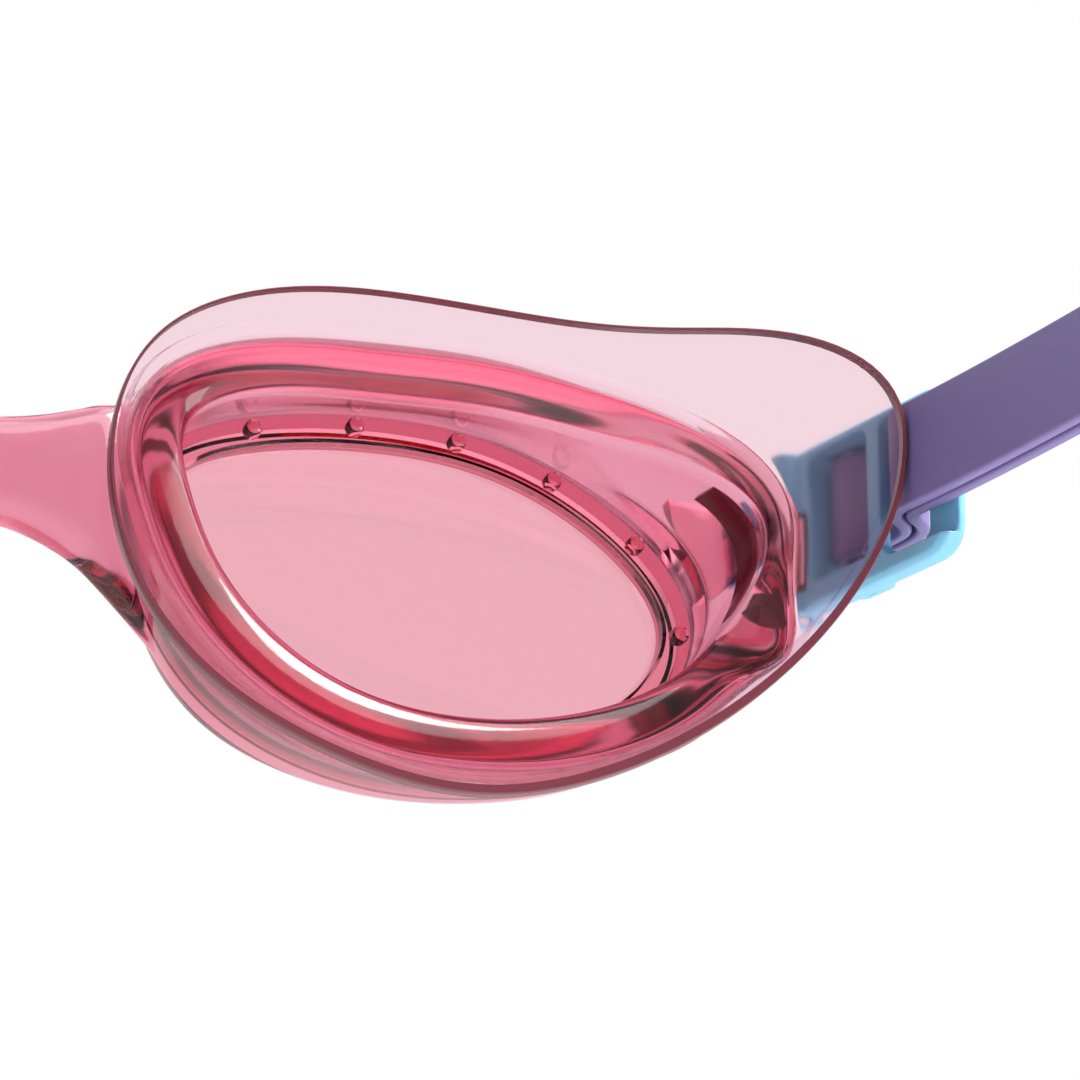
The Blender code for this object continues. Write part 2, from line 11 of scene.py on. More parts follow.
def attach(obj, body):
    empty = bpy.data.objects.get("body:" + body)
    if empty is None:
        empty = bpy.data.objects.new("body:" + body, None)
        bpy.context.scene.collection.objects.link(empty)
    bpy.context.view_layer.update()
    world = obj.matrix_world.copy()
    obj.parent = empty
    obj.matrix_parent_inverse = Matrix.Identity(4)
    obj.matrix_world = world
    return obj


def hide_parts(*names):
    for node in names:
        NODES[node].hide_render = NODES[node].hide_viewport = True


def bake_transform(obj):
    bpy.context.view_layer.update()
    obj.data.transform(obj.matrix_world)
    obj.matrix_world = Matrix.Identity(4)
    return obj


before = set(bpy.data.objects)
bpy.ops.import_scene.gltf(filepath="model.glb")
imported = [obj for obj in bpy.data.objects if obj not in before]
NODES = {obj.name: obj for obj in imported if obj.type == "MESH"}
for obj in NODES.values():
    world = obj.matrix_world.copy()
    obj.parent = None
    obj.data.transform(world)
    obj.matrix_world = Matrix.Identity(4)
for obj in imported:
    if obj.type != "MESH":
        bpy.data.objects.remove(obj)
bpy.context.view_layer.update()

MM = 0.001
SIDES = (("left", 1), ("right", -1))

# One cup lies in its own frame, in millimetres: p outward from its centre, d forward from the face, z up.
CUP_X = 41.0
CUP_WRAP = math.radians(9.0)
CUP_HEART = (2.5, 1.0)
CUP_SPREAD = (31.0, 20.0)
STATIONS = 220

SKIRT_EDGE = [
    (35.2, 12.6), (32.8, 4.3), (25.9, -5.4), (17.6, -12.3), (9.6, -16.4), (0.2, -18.4),
    (-9.7, -16.7), (-19.4, -11.9), (-25.6, -5.2), (-28.3, 2.6), (-27.7, 11.0), (-23.6, 17.1),
    (-14.2, 20.8), (-5.0, 21.2), (5.0, 20.7), (17.3, 21.2), (26.8, 21.7), (33.1, 19.3),
]
EYE_OPENING = [
    (23.8, 4.8), (21.9, -0.6), (17.0, -6.5), (9.6, -10.5), (0.3, -12.0), (-7.6, -11.0),
    (-14.6, -7.4), (-19.6, -1.8), (-22.2, 4.6), (-21.6, 10.2), (-16.8, 12.6), (-8.5, 13.3),
    (0.0, 13.3), (9.0, 12.2), (17.6, 10.4), (22.3, 8.2),
]
WINDOW = [
    (19.2, 0.8), (17.0, -4.4), (12.0, -7.9), (4.5, -9.8), (-3.6, -9.7), (-11.0, -6.9),
    (-16.8, -1.6), (-20.0, 4.6), (-19.8, 10.1), (-14.8, 12.5), (-6.2, 13.7), (3.0, 13.1),
    (11.0, 10.1), (16.6, 5.8),
]
# Depths forward from the face.
LEDGE = 13.2
WINDOW_BACK = 15.4
FLANGE_FRONT = 15.6
LENS_FRONT = 18.0
RIM_FRONT = 18.6

# Distances outward from the window's outline, and the gap left between the lens and its groove.
WALL_INSIDE = 2.2
FLANGE_EDGE = 3.1
RIM_OUTSIDE = 4.3
RIM_LIP = 1.7
RIM_CREST = 2.8
AIR = 0.08

# Skirt: its thickness, the narrowest and widest of the strip of painted shade along its cut edge, that
# strip's rounding and overlap, the flat beside it, and shares of the way from the lip to the edge.
SKIRT_THICK = 1.36
EDGE_WIDE = (0.17, 0.72)
EDGE_OVERLAP = 0.02
EDGE_ROUND = 0.1
EDGE_ROUND_IN = 0.08
EDGE_SINK = 0.01
SKIRT_FLAT = 0.7
SKIRT_SHARES = (0.65, 0.2)
SKIRT_OUTER_SHARE = 0.84

# Lip: its reach inward and forward, and the angles at which its quarter ellipse is read.
LIP_REACH = (3.9, 1.9)
LIP_ANGLES = (0, 18, 36, 52, 68, 84)

# Inside of the wall: share of the way from the opening to the lens, and depth.
WALL_STEPS = ((0.0, 3.1), (0.2, 5.0), (0.65, 9.5), (1.0, LEDGE - AIR))

# Front bead: distance inward from the rim's outside, and depth.
RIM_BEAD = ((0.6, RIM_FRONT - 0.55), (0.05, RIM_FRONT - 2.2), (0.0, 12.9), (0.0, 10.4))

# Outside of the wall: distance outward from the opening, and depth.
WALL_FOOT = ((2.9, 5.0), (3.25, 3.2), (3.6, 2.3), (4.3, 1.65), (5.2, SKIRT_THICK + 0.03))

# Swellings round the cup: size, then the angle of the middle and the reach in degrees from the temple.
WALL_THINS = (0.55, 8, 32)
NOSE_BULGE = (1.5, -153, 33)
TEMPLE_SWELL = (2.4, -11, 13)
# EDGE_WIDENS: how much the strip of painted shade along the skirt's edge widens, and where.
EDGE_WIDENS = (EDGE_WIDE[1] - EDGE_WIDE[0], -60, 95)

# Rings read in each step between the given ones, where a section is eased.
FINENESS = 4

# Dark block of painted shade on the wall at the temple, beside the lens arm: its stations, its depths and
# its distances outward from the wall.
PLATE_STATIONS = (-4, 22)
PLATE_D = (5.6, 7.5)
PLATE_OUT = (1.9, 2.7)
WALL_BEGINS = 3.0

# Interlock studs: radius, number, where the first stands round the window, and their outline.
STUD_R = 0.72
STUD_COUNT = 13
STUD_START = 0.452
STUD_RING = 1.15
STUD_POINTS = 24
STUD_LEVELS = ((LEDGE + 0.6, 1.0), (LEDGE - 0.8, 1.0), (LEDGE - 1.15, 0.8), (LEDGE - 1.3, 0.5))

# Nose bridge: x, depth, lower and upper edge and thickness; then how it ends at the rim, and its mesh.
BRIDGE = [
    (0.0, 20.6, 4.8, 12.7, 4.2),
    (6.0, 20.4, 4.7, 12.9, 4.2),
    (10.0, 20.0, 4.4, 13.3, 4.3),
    (13.0, 19.6, 3.4, 13.9, 4.4),
    (15.5, 19.1, 1.9, 14.6, 4.3),
    (17.4, 18.7, 0.1, 15.1, 4.0),
]
BRIDGE_END_Z = (5.0, 11.3)
BRIDGE_END_D = (15.9, 1.7)
BRIDGE_SQUARENESS = 0.85
BRIDGE_POINTS = 64
BRIDGE_RINGS = 81
BRIDGE_INSET = 0.6

# Lens arm: p, depth, thickness, lower and upper edge, and the room the frame leaves round it.
ARM_ROUTE = [
    (20.3, 14.3, 1.9, 3.4, 13.6),
    (24.9, 14.35, 1.9, 3.4, 13.6),
    (28.2, 15.6, 2.3, 4.6, 13.4),
    (30.8, 18.2, 2.4, 7.2, 12.8),
]
ARM_ROOM = 0.1
KNUCKLE_R = 2.3
KNUCKLE_Z = (7.0, 13.0)
HOLE_R = 1.2
HOLE_Z = (0.0, 20.0)

# A clip lies in its own frame: s back along the flared clip, t outward from it.
CLIP_FLARE = math.radians(7.0)
CLIP_START = (75.06, 17.0)
HINGE_ST = (2.4, 1.2)
BAR_ST = (8.3, 3.6)
CLIP_VOXEL = 0.17
BUCKLE_VOXEL = 0.2
EASE_ROUNDS = 5

# Blocks in the clip's frame as ranges of s, t and z: what is trimmed from the low ear, and the inner lip.
EAR_SHAVE = ((5.0, 13.0), (3.0, 7.0), (3.0, 6.3))
INNER_LIP = ((5.2, 5.8), (2.0, 3.8), (6.0, 18.0))

# Strap: the band's height and middle, one layer's thickness and its distance from the doubled band's middle.
STRAP_TALL = 8.8
STRAP_Z = 12.95
LAYER = 1.1
LAYER_AT = 0.7
LAYER_ROUND = 0.35
CORNER_POINTS = 5
FOLD_R = 1.75
FOLD_ANGLE = 85
FOLD_POINTS = 23
ROUTE_STEP = 0.6
LINE_STEP = 0.5
THINNED_BY = 3

# The doubled band's way, from the clip's own frame into the loop round the head.
LEAD_MARKS = [(11.0, 3.5), (14.0, 3.4), (16.7, 2.85), (18.0, 1.3), (19.4, -0.2), (21.3, -0.45), (28.0, -0.5)]
STRAP_ROUTE = [
    (79.6, 34.0), (80.6, 58.0), (79.6, 83.0), (73.8, 107.0), (62.8, 129.5), (48.5, 146.2), (35.5, 155.0),
]
STRAP_BACK_Y = 159.0
STRAP_STRAIGHT = 23.0
STRAP_TURN_IN = 8
OUTER_END_X = 0.8
INNER_END_X = 0.15

# Camera: behind the wearer's right cup, on the nose side and below, looking up and out.
VIEW_TURN = math.radians(26.0)
VIEW_RISE = math.radians(20.0)
VIEW_DISTANCE = 0.350
VIEW_WIDTH = 0.0818
VIEW_SHIFT = (0.0047, 0.0015)
FLOOR_Z = -0.21
FLOOR_HALF = 3.0


# ---------- mesh helpers ----------

def new_object(name, points, faces, smooth_angle=40):
    """A mesh object from points in world millimetres, its faces turned outward."""
    mesh = bpy.data.meshes.new(name)
    mesh.from_pydata([tuple(np.array(p) * MM) for p in points], [], faces)
    bm = bmesh.new()
    bm.from_mesh(mesh)
    bmesh.ops.recalc_face_normals(bm, faces=bm.faces)
    bm.to_mesh(mesh)
    bm.free()
    mesh.shade_smooth()
    if smooth_angle:
        mesh.set_sharp_from_angle(angle=math.radians(smooth_angle))
    obj = bpy.data.objects.new(name, mesh)
    bpy.context.collection.objects.link(obj)
    return obj


def freeze(obj):
    """Applies an object's modifiers to its mesh."""
    bpy.context.view_layer.update()
    seen = obj.evaluated_get(bpy.context.evaluated_depsgraph_get())
    mesh = bpy.data.meshes.new_from_object(seen)
    obj.modifiers.clear()
    obj.data = mesh
    return obj


def combine(obj, tools, operation):
    """Joins or cuts obj with each tool, which is then removed."""
    for tool in tools:
        step = obj.modifiers.new(operation, "BOOLEAN")
        step.operation = operation
        step.solver = "EXACT"
        step.object = tool
    freeze(obj)
    for tool in tools:
        bpy.data.objects.remove(tool, do_unlink=True)
    return obj


def melted(obj, voxel, rounds):
    """Remakes a mesh as one even skin with softly rounded edges."""
    remesh = obj.modifiers.new("remesh", "REMESH")
    remesh.mode = "VOXEL"
    remesh.voxel_size = voxel * MM
    remesh.use_smooth_shade = True
    ease = obj.modifiers.new("ease", "SMOOTH")
    ease.factor = 0.5
    ease.iterations = rounds
    freeze(obj)
    obj.data.shade_smooth()
    return obj


def cubic_through(knots, values, at, period=None):
    """A cubic spline read at the places in at: closed over period, or open with free ends."""
    x = np.asarray(knots, float)
    y = np.asarray(values, float)
    if period is not None:
        x = np.append(x, x[0] + period)
        y = np.append(y, y[0])
    count = len(x)
    h = np.diff(x)
    slope = np.diff(y) / h
    system = np.zeros((count, count))
    right = np.zeros(count)
    for i in range(1, count - 1):
        system[i, i - 1 : i + 2] = h[i - 1], 2 * (h[i - 1] + h[i]), h[i]
        right[i] = 6 * (slope[i] - slope[i - 1])
    if period is None:
        system[0, 0] = 1
        system[-1, -1] = 1
    else:
        system[0, 0], system[0, -1] = 1, -1
        system[-1, 0], system[-1, 1] = 2 * h[0], h[0]
        system[-1, -2], system[-1, -1] = h[-1], 2 * h[-1]
        right[-1] = 6 * (slope[0] - slope[-1])
    bend = np.linalg.solve(system, right)
    q = np.asarray(at, float)
    if period is not None:
        q = x[0] + np.mod(q - x[0], period)
    k = np.clip(np.searchsorted(x, q, side="right") - 1, 0, count - 2)
    u, v = x[k + 1] - q, q - x[k]
    cubic = (bend[k] * u**3 + bend[k + 1] * v**3) / (6 * h[k])
    line = (y[k] / h[k] - bend[k] * h[k] / 6) * u + (y[k + 1] / h[k] - bend[k + 1] * h[k] / 6) * v
    return cubic + line


def ring_faces(rings, stations, closed):
    """Faces between rings of stations, and from the last ring to the first if closed."""
    faces = []
    for r in range(rings if closed else rings - 1):
        a, b = r * stations, (r + 1) % rings * stations
        for n in range(stations):
            m = (n + 1) % stations
            faces.append((a + n, a + m, b + m, b + n))
    return faces


def disc_faces(rings, stations):
    """Faces of a stack of rings that is capped at both ends."""
    last = (rings - 1) * stations
    caps = [tuple(range(stations)), tuple(range(last, last + stations))]
    return ring_faces(rings, stations, False) + caps


def tube(name, sections, smooth_angle=40):
    """A capped solid through sections with the same number of points."""
    points = [point for section in sections for point in section]
    return new_object(name, points, disc_faces(len(sections), len(sections[0])), smooth_angle)


def upright_cylinder(name, centre, radius, z, sides=48):
    turn = np.linspace(0, 2 * math.pi, sides, endpoint=False)
    circle = [(centre[0] + radius * math.cos(a), centre[1] + radius * math.sin(a)) for a in turn]
    return tube(name, [[(x, y, level) for x, y in circle] for level in z])


# ---------- cup outlines ----------

def outline(points):
    """A smooth closed outline read at even angles round the cup's heart, so that outlines match up."""
    local = (np.array(points) - CUP_HEART) / CUP_SPREAD
    angle = np.unwrap(np.arctan2(local[:, 1], local[:, 0]))
    radius = np.hypot(local[:, 0], local[:, 1])
    if angle[-1] < angle[0]:
        angle, radius = angle[::-1], radius[::-1]
    at = np.linspace(0, 2 * math.pi, STATIONS, endpoint=False)
    reach = cubic_through(angle, radius, at, 2 * math.pi)
    return np.stack([np.cos(at), np.sin(at)], axis=1) * reach[:, None] * CUP_SPREAD + CUP_HEART


def grown(ring, offset):
    """The outline moved outward by one offset, or by its own offset at each station."""
    along = np.roll(ring, -1, axis=0) - np.roll(ring, 1, axis=0)
    along /= np.linalg.norm(along, axis=1)[:, None]
    return ring + np.reshape(offset, (-1, 1)) * np.stack([along[:, 1], -along[:, 0]], axis=1)


def around(size, middle, reach):
    """A smooth bump over the stations: size at the middle angle, falling away over reach, in degrees."""
    away = np.mod(np.linspace(0, 360, STATIONS, endpoint=False) - middle + 180, 360) - 180
    return size * np.exp(-((away / reach) ** 2))


SKIRT = outline(SKIRT_EDGE)
OPENING = outline(EYE_OPENING)
PANE = outline(WINDOW)
WALL_SHARE = 1 - around(*WALL_THINS)
RIM_OUT = RIM_OUTSIDE + around(*NOSE_BULGE)
SWELL = around(*TEMPLE_SWELL)
EDGE = EDGE_WIDE[0] + around(*EDGE_WIDENS)


def mixed(ring, other, share):
    """The outline that share of the way from one ring to the other."""
    return ring * (1 - share) + other * share


def in_world(side, p, d, z):
    """A place in one cup's frame, in the goggles' own millimetres."""
    x = CUP_X + p * math.cos(CUP_WRAP) + d * math.sin(CUP_WRAP)
    y = p * math.sin(CUP_WRAP) - d * math.cos(CUP_WRAP)
    return (side * x, y, z)


def ring_points(side, rings):
    """World points of level rings."""
    return [in_world(side, p, d, z) for ring, d in rings for p, z in ring]


def eased(rings, fineness):
    """More rings along a smooth curve through the given ones."""
    stack = np.array([np.column_stack([ring, np.full(len(ring), d)]) for ring, d in rings])
    chord = np.linalg.norm(np.diff(stack, axis=0), axis=2).mean(axis=1) ** 0.5
    knots = np.concatenate([[0], np.cumsum(chord)])
    at = np.concatenate([np.linspace(a, b, fineness, endpoint=False) for a, b in zip(knots, knots[1:])])
    at = np.append(at, knots[-1])
    flat = stack.reshape(len(stack), -1)
    read = open_spline(knots, flat, at).reshape(len(at), len(stack[0]), 3)
    return [(ring[:, :2], ring[:, 2]) for ring in read]


def open_spline(knots, values, at):
    """A Catmull-Rom curve through rows of values."""
    tangent = np.empty_like(values)
    tangent[1:-1] = (values[2:] - values[:-2]) / (knots[2:] - knots[:-2])[:, None]
    tangent[0] = (values[1] - values[0]) / (knots[1] - knots[0])
    tangent[-1] = (values[-1] - values[-2]) / (knots[-1] - knots[-2])
    k = np.clip(np.searchsorted(knots, at, side="right") - 1, 0, len(knots) - 2)
    h = (knots[k + 1] - knots[k])[:, None]
    t = (at - knots[k])[:, None] / h
    return (
        (2 * t**3 - 3 * t**2 + 1) * values[k]
        + (t**3 - 2 * t**2 + t) * h * tangent[k]
        + (3 * t**2 - 2 * t**3) * values[k + 1]
        + (t**3 - t**2) * h * tangent[k + 1]
    )


def level(rings):
    """Rings with their depth given at every station."""
    return [(ring, np.full(len(ring), d)) for ring, d in rings]


def spread_points(side, rings):
    """World points of rings whose depth is given at every station."""
    return [in_world(side, p, d, z) for ring, depth in rings for (p, z), d in zip(ring, depth)]


# ---------- soft frame ----------

def inner_wall():
    """The cup's inside from the lip forward to the lens."""
    front = grown(PANE, WALL_INSIDE)
    return [(mixed(OPENING, front, share), d) for share, d in WALL_STEPS]


def cup(name, side):
    """Face seal and lens rim in one section: skirt, lip, wall, groove for the lens, front bead."""
    lip = []
    for angle in np.radians(LIP_ANGLES):
        inward = LIP_REACH[0] * (1 - math.sin(angle)) * WALL_SHARE
        lip.append((grown(OPENING, inward), LIP_REACH[1] * (1 - math.cos(angle))))
    lip_foot = grown(OPENING, LIP_REACH[0] * WALL_SHARE)
    edge_in = grown(SKIRT, -EDGE)
    flat_in = grown(SKIRT, -EDGE - SKIRT_FLAT)
    inside = eased([
        (edge_in, 0.0),
        (flat_in, 0.0),
        *[(mixed(lip_foot, edge_in, share), 0.0) for share in SKIRT_SHARES],
        *lip,
        *inner_wall(),
    ], FINENESS)
    groove = level([
        (grown(PANE, FLANGE_EDGE + AIR), LEDGE - AIR),
        (grown(PANE, FLANGE_EDGE + AIR), FLANGE_FRONT + AIR),
        (grown(PANE, RIM_LIP), FLANGE_FRONT + AIR),
    ])
    outside = eased([
        (grown(PANE, RIM_LIP), RIM_FRONT - 0.9),
        (grown(PANE, RIM_LIP + 0.3), RIM_FRONT - 0.25),
        (grown(PANE, RIM_CREST), RIM_FRONT),
        *[(grown(PANE, RIM_OUT - inset), d) for inset, d in RIM_BEAD],
        *[(grown(OPENING, outward * WALL_SHARE + SWELL), d) for outward, d in WALL_FOOT],
        (OPENING + (SKIRT - OPENING) * SKIRT_OUTER_SHARE, SKIRT_THICK),
        (flat_in, SKIRT_THICK),
        (edge_in, SKIRT_THICK),
    ], FINENESS)
    rings = inside + groove + outside
    return new_object(name, spread_points(side, rings), ring_faces(len(rings), STATIONS, True), None)


def shaded_skirt_edge(label, side):
    """The skirt's cut edge as a strip of painted shade, where the soft plastic looks darkest."""
    rings = level([
        (grown(SKIRT, -EDGE - EDGE_OVERLAP), EDGE_SINK),
        (grown(SKIRT, -EDGE_ROUND_IN), 0.0),
        (SKIRT, EDGE_ROUND),
        (SKIRT, SKIRT_THICK - EDGE_ROUND),
        (grown(SKIRT, -EDGE_ROUND_IN), SKIRT_THICK),
        (grown(SKIRT, -EDGE - EDGE_OVERLAP), SKIRT_THICK - EDGE_SINK),
    ])
    faces = ring_faces(len(rings), STATIONS, True)
    piece = new_object(f"shaded_skirt_edge_{label}", spread_points(side, rings), faces, 50)
    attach(piece, "frame")
    return piece


def rim_edge_p(z):
    """Where the rim's nose side is, at height z."""
    ring = grown(PANE, RIM_OUT - BRIDGE_INSET)
    nose = ring[ring[:, 0] < CUP_HEART[0]]
    order = np.argsort(nose[:, 1])
    return float(np.interp(z, nose[order, 1], nose[order, 0]))


def bridge():
    """The nose bridge, flared into both rims."""
    turn = np.linspace(0, 2 * math.pi, BRIDGE_POINTS, endpoint=False)
    cosine = np.sign(np.cos(turn)) * abs(np.cos(turn)) ** BRIDGE_SQUARENESS
    sine = np.sign(np.sin(turn)) * abs(np.sin(turn)) ** BRIDGE_SQUARENESS
    half = []
    for x, y, low, high, thick in BRIDGE:
        middle, reach = (low + high) / 2, (high - low) / 2
        half.append([(x, -(y + thick / 2 * c), middle + reach * s) for c, s in zip(cosine, sine)])
    end = []
    for c, s in zip(cosine, sine):
        z = BRIDGE_END_Z[0] + BRIDGE_END_Z[1] * s
        end.append(in_world(1, rim_edge_p(z), BRIDGE_END_D[0] + BRIDGE_END_D[1] * c, z))
    half.append(end)
    half = np.array(half)
    knots = np.concatenate([[0], np.cumsum(np.linalg.norm(np.diff(half, axis=0), axis=2).mean(axis=1))])
    whole = np.vstack([(half * (-1, 1, 1))[:0:-1], half])
    spots = np.concatenate([-knots[:0:-1], knots])
    at = np.linspace(spots[0], spots[-1], BRIDGE_RINGS)
    read = open_spline(spots, whole.reshape(len(whole), -1), at).reshape(len(at), len(turn), 3)
    count = len(turn)
    points = read.reshape(-1, 3)
    faces = ring_faces(len(at), count, False)
    for start in (0, len(points) - count):
        for i in range(-(count // 4), count // 4):
            corners = [start + k % count for k in (i, i + 1, count // 2 - i - 1, count // 2 - i)]
            faces.append(tuple(dict.fromkeys(corners)))
    return new_object("guide_bridge", points, faces, None)


def painted_shade_plate(label, side):
    """The dark block on the wall's temple end, beside the lens arm: a piece of painted shade."""
    front = grown(PANE, WALL_INSIDE)
    columns = []
    for station in range(*PLATE_STATIONS):
        corners = []
        for d, offset in ((PLATE_D[0], 0), (PLATE_D[0], 1), (PLATE_D[1], 1), (PLATE_D[1], 0)):
            share = (d - WALL_BEGINS) / (LEDGE - WALL_BEGINS)
            ring = grown(mixed(OPENING, front, share), PLATE_OUT[offset])
            corners.append(in_world(side, ring[station][0], d, ring[station][1]))
        columns.append(corners)
    piece = tube(f"temple_shade_block_{label}", columns)
    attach(piece, "frame")
    return piece


def soft_frame():
    """Bridge and both cups as one moulding, with room cut for the lens arms."""
    frame_piece = bridge()
    frame_piece.name = "soft_frame"
    combine(frame_piece, [cup(f"guide_cup_{label}", side) for label, side in SIDES], "UNION")
    rooms = [lens_arm(f"guide_room_{label}", side, ARM_ROOM) for label, side in SIDES]
    combine(frame_piece, rooms, "DIFFERENCE")
    frame_piece.data.shade_smooth()
    frame_piece.data.set_sharp_from_angle(angle=math.radians(50))
    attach(frame_piece, "frame")
    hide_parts("front_frame", "face_seal_left", "face_seal_right")
    return frame_piece


# ---------- lenses ----------

def clip_point(side, s, t, z):
    """A place in one clip's frame, in the goggles' own millimetres."""
    x = CLIP_START[0] + s * math.sin(CLIP_FLARE) + t * math.cos(CLIP_FLARE)
    y = -CLIP_START[1] + s * math.cos(CLIP_FLARE) - t * math.sin(CLIP_FLARE)
    return (side * x, y, z)


def lens_arm(name, side, room=0.0):
    """The arm from the lens flange to the clip's hinge, grown all round by room."""
    sections = []
    for i, (p, d, thick, low, high) in enumerate(ARM_ROUTE):
        back, ahead = ARM_ROUTE[max(0, i - 1)], ARM_ROUTE[min(len(ARM_ROUTE) - 1, i + 1)]
        lean = math.atan2(ahead[1] - back[1], ahead[0] - back[0])
        q, r = -math.sin(lean) * (thick / 2 + room), math.cos(lean) * (thick / 2 + room)
        low, high = low - room, high + room
        inner, outer = (p - q, d - r), (p + q, d + r)
        corners = [(*inner, low), (*outer, low), (*outer, high), (*inner, high)]
        sections.append([in_world(side, *corner) for corner in corners])
    x, y, _ = clip_point(side, *HINGE_ST, 0.0)
    reach = np.array(sections[-1])
    middle = reach.mean(axis=0)
    sections.append([tuple(corner + np.array([x, y, middle[2]]) - middle) for corner in reach])
    return tube(name, sections)


def stud_places():
    """Even places along the ledge's outline, round the window."""
    ring = grown(PANE, STUD_RING)
    loop = np.vstack([ring, ring[:1]])
    run = np.concatenate([[0], np.cumsum(np.linalg.norm(np.diff(loop, axis=0), axis=1))])
    places = np.mod((np.arange(STUD_COUNT) / STUD_COUNT + STUD_START) * run[-1], run[-1])
    return [(np.interp(q, run, loop[:, 0]), np.interp(q, run, loop[:, 1])) for q in places]


def studs(name, side):
    """Short round-topped studs that stand on the ledge round the window."""
    points, faces = [], []
    turn = np.linspace(0, 2 * math.pi, STUD_POINTS, endpoint=False)
    for p, z in stud_places():
        start = len(points)
        for d, share in STUD_LEVELS:
            reach = STUD_R * share
            points += [in_world(side, p + reach * math.cos(a), d, z + reach * math.sin(a)) for a in turn]
        faces += [tuple(start + i for i in face) for face in disc_faces(len(STUD_LEVELS), len(turn))]
    return new_object(name, points, faces)


def lens(label, side):
    """Stepped lens with its flange, studs, arm and hinge knuckle."""
    rings = [
        (grown(PANE, -0.25), WINDOW_BACK),
        (PANE, WINDOW_BACK - 0.25),
        (PANE, LEDGE + 0.25),
        (grown(PANE, 0.25), LEDGE),
        (grown(PANE, FLANGE_EDGE - 0.2), LEDGE),
        (grown(PANE, FLANGE_EDGE), LEDGE + 0.2),
        (grown(PANE, FLANGE_EDGE), FLANGE_FRONT),
        (grown(PANE, RIM_LIP - AIR), FLANGE_FRONT),
        (grown(PANE, RIM_LIP - AIR), LENS_FRONT - 0.4),
        (grown(PANE, RIM_LIP - 0.25), LENS_FRONT - 0.12),
        (grown(PANE, RIM_LIP - 0.5), LENS_FRONT),
    ]
    faces = disc_faces(len(rings), STATIONS)
    piece = new_object(f"clear_lens_{label}", ring_points(side, rings), faces, 30)
    x, y, _ = clip_point(side, *HINGE_ST, 0.0)
    tools = [
        lens_arm("guide_arm", side),
        upright_cylinder("guide_knuckle", (x, y), KNUCKLE_R, KNUCKLE_Z),
        studs("guide_studs", side),
    ]
    combine(piece, tools, "UNION")
    combine(piece, [upright_cylinder("guide_hole", (x, y), HOLE_R, HOLE_Z)], "DIFFERENCE")
    piece.data.shade_smooth()
    piece.data.set_sharp_from_angle(angle=math.radians(30))
    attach(piece, "frame")
    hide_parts(f"lens_{label}")
    return piece


# ---------- clips, pins, strap, buckle ----------

def clip_block(name, side, box):
    """A block in the clip's frame, from its ranges of s, t and z."""
    (s0, s1), (t0, t1), heights = box
    plan = [(s0, t0), (s1, t0), (s1, t1), (s0, t1)]
    return tube(name, [[clip_point(side, s, t, z) for s, t in plan] for z in heights])


def clip(label, side):
    """The CAD clip with softly rounded moulded edges, a straight lower edge and an inner lip."""
    source = NODES[f"clip_{label}"]
    piece = bpy.data.objects.new(f"side_clip_{label}", source.data.copy())
    bpy.context.collection.objects.link(piece)
    combine(piece, [clip_block("guide_shave", side, EAR_SHAVE)], "DIFFERENCE")
    combine(piece, [clip_block("guide_lip", side, INNER_LIP)], "UNION")
    melted(piece, CLIP_VOXEL, EASE_ROUNDS)
    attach(piece, f"clip_{label}")
    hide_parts(f"clip_{label}")
    return piece


def spaced(route, step):
    """A smooth curve through the route's points, read at even steps."""
    route = np.asarray(route, float)
    run = np.concatenate([[0], np.cumsum(np.linalg.norm(np.diff(route, axis=0), axis=1))])
    fine = np.linspace(0, run[-1], 1200)
    smooth = np.stack([cubic_through(run, route[:, k], fine) for k in range(2)], axis=1)
    length = np.concatenate([[0], np.cumsum(np.linalg.norm(np.diff(smooth, axis=0), axis=1))])
    at = np.linspace(0, length[-1], max(2, int(round(length[-1] / step)) + 1))
    return np.stack([np.interp(at, length, smooth[:, k]) for k in range(2)], axis=1)


def sideways(route):
    """Unit vectors across the route, to its right."""
    along = np.gradient(route, axis=0)
    along /= np.linalg.norm(along, axis=1)[:, None]
    return np.stack([along[:, 1], -along[:, 0]], axis=1)


def clip_plan(s, t):
    """A place in the left clip's frame, seen from above."""
    x, y, _ = clip_point(1, s, t, 0.0)
    return (x, y)


def band_section():
    """The outline of one layer, with rounded corners: across the band, then up."""
    corner = []
    for across, up, first in ((1, 1, 0), (-1, 1, 90), (-1, -1, 180), (1, -1, 270)):
        for a in np.radians(np.linspace(first, first + 90, CORNER_POINTS)):
            u = across * (LAYER / 2 - LAYER_ROUND) + LAYER_ROUND * math.cos(a)
            v = up * (STRAP_TALL / 2 - LAYER_ROUND) + LAYER_ROUND * math.sin(a)
            corner.append((u, v))
    return corner


